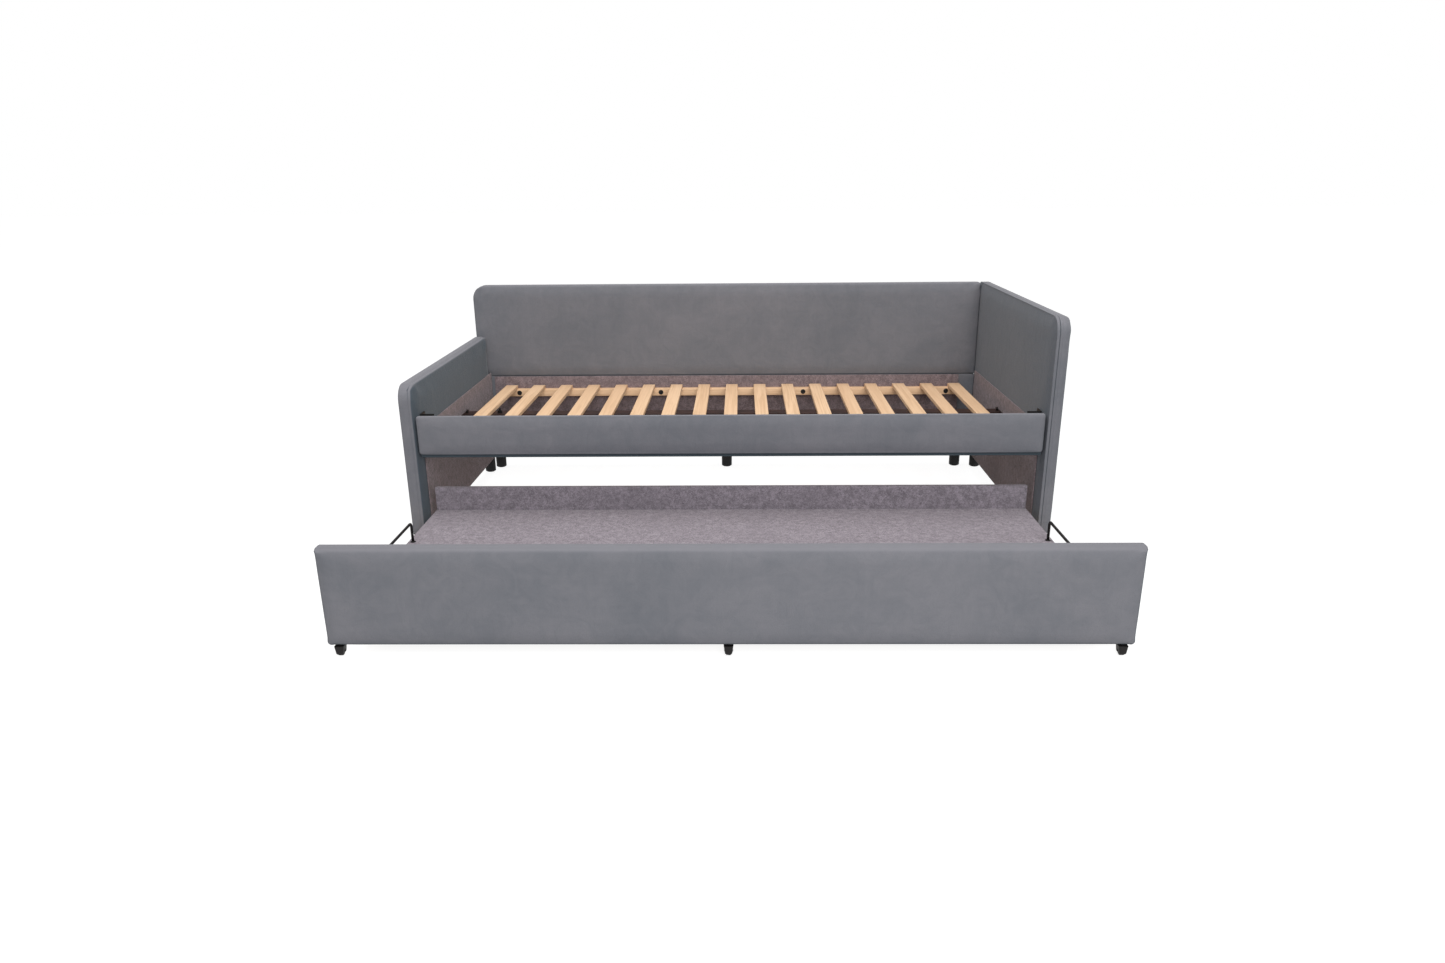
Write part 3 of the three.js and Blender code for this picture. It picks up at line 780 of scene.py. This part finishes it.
class BedOperator:
    """What every operator here shares: it changes the scene and can be undone."""

    bl_options = {"REGISTER", "UNDO"}

    def execute(self, context):
        self.make(context.scene)
        return {"FINISHED"}


class BED_OT_low_arm(BedOperator, bpy.types.Operator):
    """Low arm: one padded panel with a seam round it just behind its inner face"""

    bl_idname = "bed.low_arm"
    bl_label = "Low arm"

    def make(self, scene):
        sizes = scene.bed_upholstery
        padded_panel("low_arm_upholstery", ["low_arm"], "daybed", "side", False,
                     (0.009, 0.009, 0.012, 0.05), sizes, sizes.edge, seams=(0.014,), seed=0.7)


class BED_OT_tall_arm(BedOperator, bpy.types.Operator):
    """Tall arm: a padded inner panel and a thicker outer board that meet in a seam"""

    bl_idname = "bed.tall_arm"
    bl_label = "Tall arm"

    def make(self, scene):
        sizes = scene.bed_upholstery
        corners = (0.009, 0.009, 0.012, 0.05)
        padded_panel("tall_arm_cushion", ["tall_arm_pad"], "daybed", "side", True, corners, sizes,
                     sizes.edge, seed=1.9)
        padded_panel("tall_arm_shell", ["tall_arm_board"], "daybed", "side", False, corners, sizes,
                     sizes.edge, seams=(0.031,), seed=2.6)


class BED_OT_back(BedOperator, bpy.types.Operator):
    """Back: a cushion above, the board behind it, and the covered board below the cushion"""

    bl_idname = "bed.back"
    bl_label = "Back"

    def make(self, scene):
        sizes = scene.bed_upholstery
        corners = (0.009, 0.009, 0.009, 0.05)
        padded_panel("back_cushion", ["back_pad"], "daybed", "front", True, corners, sizes,
                     sizes.edge, seed=3.1)
        low, high = box_of("back_board")
        pad_low, pad_high = box_of("back_pad")
        gap = 0.3 * MM
        padded_panel("back_shell", ["back_board"], "daybed", "front", False, corners, sizes,
                     sizes.edge, seed=4.4, low=np.array([low[0], pad_high[1] + gap, low[2]]))
        upright = np.array([high[0], pad_high[1], pad_low[2] - gap])
        points, quads = panel_surface((low[0], upright[0]), (low[2], upright[2]), low[1], upright[1],
                                      (0.006,) * 4, 0.005, 0.002, FINE_CELL, uneven=sizes.unevenness)
        lower = lay_piece("back_lower_cover", facing(points, "front"), quads, "daybed", "velvet")


class BED_OT_front_rail(BedOperator, bpy.types.Operator):
    """Front rail: a thick soft-edged pad on a covered board, with the corner brackets behind"""

    bl_idname = "bed.front_rail"
    bl_label = "Front rail"

    def make(self, scene):
        sizes = scene.bed_upholstery
        edge = sizes.rail_edge
        padded_panel("front_rail_cushion", ["front_rail_pad"], "daybed", "front", True,
                     (0.011, 0.011, 0.008, 0.008), sizes, edge, rise=0.05, seed=5.2)
        # The board below the cushion takes a darker, greener copy of the velvet as painted shade
        padded_panel("front_rail_shell", ["front_rail_board"], "daybed", "front", False,
                     (0.006,) * 4, sizes, 0.005, crown=0.0, seed=6.0, finish="velvet_painted_shade")
        dress(["rail_bracket_left", "rail_bracket_right"], "black_steel")
        self.add_bracket_bolts()

    def add_bracket_bolts(self):
        """Two socket bolts in each leg of the brackets."""
        centres = {}
        for side, inward in (("left", 1), ("right", -1)):
            low, high = box_of(f"rail_bracket_{side}")
            arm_x = low[0] if inward > 0 else high[0]
            thick = 3 * MM
            for z in (low[2] + 14 * MM, high[2] - 26 * MM):
                rail_leg = (arm_x + inward * 26 * MM, low[1] + thick, z)
                arm_leg = (arm_x + inward * thick, low[1] + 26 * MM, z)
                centres.setdefault(("y", 1), []).append(rail_leg)
                centres.setdefault(("x", inward), []).append(arm_leg)
        for (axis, sign), places in centres.items():
            name = f"bracket_bolts_{axis}_{'plus' if sign > 0 else 'minus'}"
            lay_bolts(name, "daybed", places, axis, sign, 5 * MM, 4 * MM)


class BED_OT_linings(BedOperator, bpy.types.Operator):
    """Linings: felt sheets stapled inside both arms and the back"""

    bl_idname = "bed.linings"
    bl_label = "Felt linings"

    def make(self, scene):
        sheets = [
            ("low_arm_felt", "side", False, "low_arm_upholstery"),
            ("tall_arm_felt", "side", True, "tall_arm_cushion"),
            ("back_felt", "front", True, "back_lower_cover"),
        ]
        for seed, (node, direction, faces_low, rests_on) in enumerate(sheets):
            lay_felt(f"{node}_sheet", node, "daybed", direction, faces_low, "felt_lining_shaded",
                     seed)


def lay_felt(name, node, body, direction, faces_low, finish, seed):
    """A felt sheet in the place of its CAD node, faintly wavy, with soft cut edges."""
    edge = 0.0012
    piece = panel_from(name, [node], body, direction, faces_low, finish, (0.003,) * 4,
                       (edge, edge / 2), 0.03, uneven=0.0004, rise=0.02, seed=seed)
    return piece


class BED_OT_slats(BedOperator, bpy.types.Operator):
    """Slats: seventeen sanded pine boards with eased edges"""

    bl_idname = "bed.slats"
    bl_label = "Slats"

    def make(self, scene):
        slats = sorted(node for node in frame["nodes"] if node.startswith("slat_"))
        for node in slats:
            piece = panel_from(f"{node}_board", [node], "daybed", "up", False, "pine_along_y",
                               (0.0025,) * 4, (0.002, 0.0012), COARSE_CELL)


class BED_OT_ledgers(BedOperator, bpy.types.Operator):
    """Ledgers: the pine strips that carry the slats, bolted to the rail and to the back"""

    bl_idname = "bed.ledgers"
    bl_label = "Ledgers"
    bolt_count = 4

    def make(self, scene):
        for node, faces_low in (("front_ledger", False), ("rear_ledger", True)):
            piece = panel_from(f"{node}_strip", [node], "daybed", "front", faces_low, "pine_along_x",
                               (0.0025,) * 4, (0.002, 0.0012), COARSE_CELL)
            low, high = box_of(node)
            inset = 55 * MM
            spots = np.linspace(low[0] + inset, high[0] - inset, self.bolt_count)
            y, sign = (low[1], -1) if faces_low else (high[1], 1)
            centres = [(x, y, (low[2] + high[2]) / 2) for x in spots]
            lay_bolts(f"{node}_bolts", "daybed", centres, "y", sign, 7 * MM, 5 * MM)


class BED_OT_centre_beam(BedOperator, bpy.types.Operator):
    """Centre beam: the steel tube under the slats, with the studs that stand on it"""

    bl_idname = "bed.centre_beam"
    bl_label = "Centre beam"

    def make(self, scene):
        dress(["centre_beam"], "brown_steel")
        low, high = box_of("centre_beam")
        middle_y, top = (low[1] + high[1]) / 2, box_of("rear_ledger")[1][2]
        from_end, nut_from_end = 9 * MM, 128 * MM
        for side, x in (("left", low[0] + from_end), ("right", high[0] - from_end)):
            self.add_stud(f"beam_end_stud_{side}", (x, middle_y, top), 2 * MM, 13 * MM)
        self.add_stud("beam_nut", (low[0] + nut_from_end, middle_y, top), 4 * MM, 17 * MM)

    def add_stud(self, name, foot, radius, height):
        """A nut on its washer, with the end of its stud above it."""
        half = height / 2
        profile = [(0, 0), (2.7 * radius, 0), (2.7 * radius, 0.1 * height), (1.8 * radius, 0.1 * height, 1),
                   (1.8 * radius, half, 1), (radius, half), (radius, 0.93 * height),
                   (0.75 * radius, height), (0, height)]
        surface = placed(turned_surface(profile, flats=6), foot, "z")
        piece = lay_piece(name, *surface, "daybed", "black_steel")
        crease_sharp(piece)


class BED_OT_feet(BedOperator, bpy.types.Operator):
    """Feet: seven moulded feet, each with a rounded lower edge and a glide"""

    bl_idname = "bed.feet"
    bl_label = "Feet"

    def make(self, scene):
        for node in sorted(node for node in frame["nodes"] if "_foot_" in node):
            low, high = box_of(node)
            radius, top = (high[0] - low[0]) / 2, high[2] - low[2]
            sole, bevel = 0.84 * radius, 3 * MM
            profile = [(0, 0), (0.7 * radius, 0), (0.72 * radius, 2 * MM), (sole, 2.2 * MM)]
            turn = np.linspace(-math.pi / 2, 0, 7)
            profile += [(sole + bevel * math.cos(v), 5.2 * MM + bevel * math.sin(v)) for v in turn]
            profile += [(radius, 0.7 * top), (radius, top - MM), (radius - MM, top), (0, top)]
            centre = ((low[0] + high[0]) / 2, (low[1] + high[1]) / 2, low[2])
            surface = placed(turned_surface(profile), centre, "z")
            piece = lay_piece(f"{node}_moulding", *surface, "daybed", "foot_plastic", [node])
            crease_sharp(piece, 40)


class BED_OT_trundle_front(BedOperator, bpy.types.Operator):
    """Trundle front: the wide padded panel that is pulled to roll the trundle out"""

    bl_idname = "bed.trundle_front"
    bl_label = "Trundle front"

    def make(self, scene):
        sizes = scene.bed_upholstery
        padded_panel("trundle_front_upholstery", ["trundle_front_panel"], "trundle", "front", True,
                     (0.013, 0.013, 0.007, 0.007), sizes, sizes.rail_edge, rise=0.07, seed=7.3)


class BED_OT_trundle_deck(BedOperator, bpy.types.Operator):
    """Trundle deck: plywood under felt, the felt-wrapped stop at the back, and the rails below"""

    bl_idname = "bed.trundle_deck"
    bl_label = "Trundle deck"

    def make(self, scene):
        lay_felt("trundle_deck_felt_sheet", "trundle_deck_felt", "trundle", "up", False, "felt",
                 2)
        stop = panel_from("trundle_back_stop_wrapped", ["trundle_back_stop"], "trundle", "front", True,
                          "felt_wrap", (0.005,) * 4, (0.004, 0.004), 0.03, uneven=0.0005, rise=0.03, seed=9)
        dress(["trundle_deck"], "plywood")
        for place in ("left", "middle", "right"):
            node = f"trundle_rail_{place}"
            piece = panel_from(f"{node}_timber", [node], "trundle", "up", False, "pine_along_y",
                               (0.003,) * 4, (0.0025, 0.0025), COARSE_CELL)


class BED_OT_retainers(BedOperator, bpy.types.Operator):
    """Mattress retainers: a bent rod at each end of the trundle, with a ferrule round each leg"""

    bl_idname = "bed.retainers"
    bl_label = "Mattress retainers"
    bend = 12 * MM

    def make(self, scene):
        for side in ("left", "right"):
            node = f"mattress_retainer_{side}"
            low, high = box_of(node)
            radius = (high[0] - low[0]) / 2
            path = self.route(low, high, radius)
            rod = rod_surface(path, radius)
            ferrule = turned_surface([(radius * 0.9, 0), (2 * radius, 0), (2 * radius, 1.2 * MM),
                                      (1.4 * radius, 2.6 * MM), (radius * 0.9, 2.8 * MM),
                                      (radius * 0.9, 0)])
            feet = [placed(ferrule, (path[end, 0], path[end, 1], low[2]), "z") for end in (0, -1)]
            piece = lay_piece(f"{node}_rod", *joined([rod, *feet]), "trundle", "black_steel", [node])

    def route(self, low, high, radius):
        """The rod's axis: up, a quarter circle, along, a quarter circle and down again."""
        x = (low[0] + high[0]) / 2
        front, rear, top = low[1] + radius, high[1] - radius, high[2] - radius
        turn = np.linspace(0, math.pi / 2, 9)
        first = np.stack([front + self.bend * (1 - np.cos(turn)), top - self.bend * (1 - np.sin(turn))], -1)
        second = np.stack([front + rear - first[::-1, 0], first[::-1, 1]], axis=-1)
        legs = [[front, low[2]]], [[rear, low[2]]]
        line = np.concatenate([legs[0], first, second, legs[1]])
        return np.column_stack([np.full(len(line), x), line])


class BED_OT_casters(BedOperator, bpy.types.Operator):
    """Casters: six rubber wheels that roll in their forks, with riveted pins"""

    bl_idname = "bed.casters"
    bl_label = "Casters"

    def make(self, scene):
        for place in CASTER_PLACES:
            self.add_wheel(place)
            self.add_hood(place)

    def add_wheel(self, place):
        """A treaded tyre on a dished hub, about X."""
        node = f"caster_wheel_{place}"
        low, high = box_of(node)
        half, tread = (high[0] - low[0]) / 2, (high[2] - low[2]) / 2
        bore, hub, groove = 2.75 * MM, 0.52 * tread, 0.5 * MM
        turn = np.linspace(0, math.pi / 2, 7)
        shoulder = 3 * MM
        right = [(tread - shoulder * (1 - math.cos(v)), half - shoulder * (1 - math.sin(v))) for v in turn]
        rim = [(tread, MM), (tread - groove, 0.6 * MM), (tread - groove, -0.6 * MM), (tread, -MM)]
        dish = [(hub + MM, half), (hub, half - 1.2 * MM), (0.45 * tread, half - 1.2 * MM),
                (0.4 * tread, half), (bore, half)]
        left = [(r, -t) for r, t in reversed(right)]
        profile = dish[::-1] + right[::-1] + rim + left + [(r, -t) for r, t in dish] + [(bore, half)]
        centre = (low + high) / 2
        surface = placed(turned_surface(profile), centre, "x")
        piece = lay_piece(f"{node}_tyre", *surface, f"wheel_{place}", "wheel_rubber", [node])
        crease_sharp(piece, 40)

    def add_hood(self, place):
        """The hooded fork with the heads of its pin.

        Each ring is a superellipse: half sizes times the cosine and sine of the angle, both raised to
        0.4 with their signs. Rings run from the middle of the top, down the outside, round the lip and
        up the inside to the middle of the roof."""
        node = f"caster_fork_{place}"
        low, high = box_of(node)
        wheel_low, wheel_high = box_of(f"caster_wheel_{place}")
        half, inner = (high - low) / 2, (wheel_high - wheel_low) / 2 + 0.7 * MM
        top, roof, lip = high[2], high[2] - 3 * MM, low[2]
        foot_x = inner[0] + 2.2 * MM
        rings = [(0, 0, top), (half[0] - MM, half[1] - MM, top), (half[0], half[1], top - MM)]
        for share in np.linspace(0.2, 0.9, 5):
            rings.append((half[0] + (foot_x - half[0]) * share, half[1] - 1.5 * MM * share**2,
                          top + (lip - top) * share))
        rings += [(foot_x, half[1] - 2.2 * MM, lip + MM), (foot_x - 0.7 * MM, half[1] - 3 * MM, lip),
                  (inner[0] + 0.3 * MM, inner[1] + 0.3 * MM, lip), (inner[0], inner[1], lip + MM),
                  (inner[0], inner[1], roof), (0, 0, roof)]
        rings = np.array(rings)[:, None, :]
        angle = np.linspace(0, 2 * math.pi, ROUND_SIDES, endpoint=False)
        round_x, round_y = (np.sign(v) * np.abs(v) ** 0.4 for v in (np.cos(angle), np.sin(angle)))
        points = np.stack([rings[..., 0] * round_x, rings[..., 1] * round_y,
                           rings[..., 2] + 0 * angle], axis=-1)
        centre = (wheel_low + wheel_high) / 2
        points = points.reshape(-1, 3) + np.array([centre[0], centre[1], 0])
        hood = points, grid_faces(len(rings), ROUND_SIDES, wrapped=True)
        head = turned_surface(
            [(0, -MM), (3.6 * MM, -MM), (3.6 * MM, 0.4 * MM), (2.6 * MM, MM), (0, 1.2 * MM)]
        )
        reach = np.array([inner[0] + 3.1 * MM, 0, 0])
        heads = [placed(head, centre + sign * reach, "x", sign) for sign in (-1, 1)]
        piece = lay_piece(f"{node}_hood", *joined([hood, *heads]), "trundle", "black_steel", [node])
        crease_sharp(piece, 45)


class BED_OT_stage(BedOperator, bpy.types.Operator):
    """Stage: pale floor and surroundings, soft lamps and the camera"""

    bl_idname = "bed.stage"
    bl_label = "Stage"

    def make(self, scene):
        scene.view_settings.view_transform = "Standard"
        self.add_floor()
        self.light_world(scene)
        self.add_lamps(scene.bed_stage)
        self.add_camera(scene)

    def add_floor(self):
        """A wide plain floor. What the camera sees of it is nearly white and keeps the bed's shadow."""
        half = 30.0
        mesh = bpy.data.meshes.new("floor")
        mesh.from_pydata([(-half, -half, 0), (half, -half, 0), (half, half, 0), (-half, half, 0)], [],
                         [(0, 1, 2, 3)])
        mesh.materials.append(self.floor_material())
        floor = bpy.data.objects.new("floor", mesh)
        bpy.context.scene.collection.objects.link(floor)

    def floor_material(self):
        f = Finish("floor")
        plain = f.add("ShaderNodeBsdfDiffuse", None, {"Color": (0.55, 0.55, 0.55, 1)})
        shaded = f.add("ShaderNodeBsdfDiffuse", None, {"Color": (0.3, 0.3, 0.3, 1)})
        glow = f.add("ShaderNodeEmission", None, {"Color": (1, 1, 1, 1), "Strength": 0.88})
        shown = f.add("ShaderNodeAddShader", None, {0: shaded, 1: glow})
        both = f.add("ShaderNodeMixShader", None, {0: seen_directly(f), 1: plain, 2: shown})
        f.plug(f.nodes["Material Output"].inputs["Surface"], both)
        return f.material

    def light_world(self, scene):
        """Even light from all round, which the camera and reflections see as white."""
        world = bpy.data.worlds.new("surroundings")
        world.use_nodes = True
        scene.world = world
        f = SimpleNamespace(nodes=world.node_tree.nodes, material=world)
        f.add = lambda *values, **more: Finish.add(f, *values, **more)
        f.plug = lambda *values: Finish.plug(f, *values)
        strength = scene.bed_stage.sky
        seen = seen_directly(f)
        background = world.node_tree.nodes["Background"]
        background.inputs["Color"].default_value = (1, 1, 1, 1)
        f.plug(background.inputs["Strength"], seen * (1 - strength) + strength)

    def add_lamps(self, stage):
        """A large lamp in front, a little to the right, and one over the bed."""
        places = [("key", stage.key, (1.0, -5.2, 2.9), 3.6), ("top", stage.top, (-0.3, 0.0, 3.4), 3.0)]
        for name, power, place, size in places:
            data = bpy.data.lights.new(name, "AREA")
            data.energy, data.size = power, size
            lamp = bpy.data.objects.new(name, data)
            bpy.context.scene.collection.objects.link(lamp)
            lamp.location = place
            aim = Vector(LAMPS_AIM) - lamp.location
            lamp.rotation_euler = aim.to_track_quat("-Z", "Y").to_euler()

    def add_camera(self, scene):
        """Seen from in front of the bed's middle at chest height, turned down by the pitch, to the side
        by the yaw and about its own line of sight by the roll."""
        pitch, yaw, roll = (math.radians(angle) for angle in CAMERA_TURN)
        flat = math.cos(pitch)
        ahead = np.array([math.sin(yaw) * flat, math.cos(yaw) * flat, -math.sin(pitch)])
        level = np.array([math.cos(yaw), -math.sin(yaw), 0.0])
        down = np.cross(ahead, level)
        across = level * math.cos(roll) + down * math.sin(roll)
        upward = level * math.sin(roll) - down * math.cos(roll)
        data = bpy.data.cameras.new("camera")
        data.lens, data.sensor_width = scene.bed_stage.lens, SENSOR_WIDTH
        data.shift_y = CAMERA_SHIFT
        camera = bpy.data.objects.new("camera", data)
        scene.collection.objects.link(camera)
        turned = np.eye(4)
        turned[:3, :3] = np.stack([across, upward, -ahead], axis=-1)
        turned[:3, 3] = CAMERA_PLACE
        camera.matrix_world = Matrix(turned.tolist())
        scene.camera = camera


def seen_directly(tree):
    """1 for what the camera sees straight, in a reflection or through glass, and 0 for lighting."""
    rays = [tree.add("ShaderNodeLightPath", output=f"Is {kind} Ray") for kind in
            ("Camera", "Glossy", "Transmission")]
    total = rays[0] + rays[1] + rays[2]
    return tree.add("ShaderNodeMath", {"operation": "MINIMUM"}, {0: total, 1: 1.0})


class BED_PT_panel(bpy.types.Panel):
    """Lists the pieces, sizes and colours of the bed"""

    bl_idname = "BED_PT_panel"
    bl_label = "Daybed"
    bl_space_type = "VIEW_3D"
    bl_region_type = "UI"
    bl_category = "Daybed"

    def draw(self, context):
        for group in PROPERTY_GROUPS:
            holder = getattr(context.scene, group)
            for name in holder.bl_rna.properties.keys():
                if name not in ("rna_type", "name"):
                    self.layout.prop(holder, name)
        for operator in OPERATORS:
            self.layout.operator(operator.bl_idname)


PROPERTY_GROUPS = {
    "bed_upholstery": BedUpholstery,
    "bed_colours": BedColours,
    "bed_stage": BedStage,
}
OPERATORS = (
    BED_OT_stage, BED_OT_low_arm, BED_OT_tall_arm, BED_OT_back, BED_OT_front_rail, BED_OT_linings,
    BED_OT_slats, BED_OT_ledgers, BED_OT_centre_beam, BED_OT_feet, BED_OT_trundle_front,
    BED_OT_trundle_deck, BED_OT_retainers, BED_OT_casters,
)
CLASSES = (*PROPERTY_GROUPS.values(), *OPERATORS, BED_PT_panel)


def register():
    for cls in CLASSES:
        bpy.utils.register_class(cls)
    for name, group in PROPERTY_GROUPS.items():
        setattr(bpy.types.Scene, name, PointerProperty(type=group))


def unregister():
    for name in PROPERTY_GROUPS:
        delattr(bpy.types.Scene, name)
    for cls in reversed(CLASSES):
        bpy.utils.unregister_class(cls)


def main():
    """Registers the classes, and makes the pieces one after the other."""
    register()
    for operator in OPERATORS:
        group, name = operator.bl_idname.split(".")
        getattr(getattr(bpy.ops, group), name)()


if __name__ == "__main__":
    main()
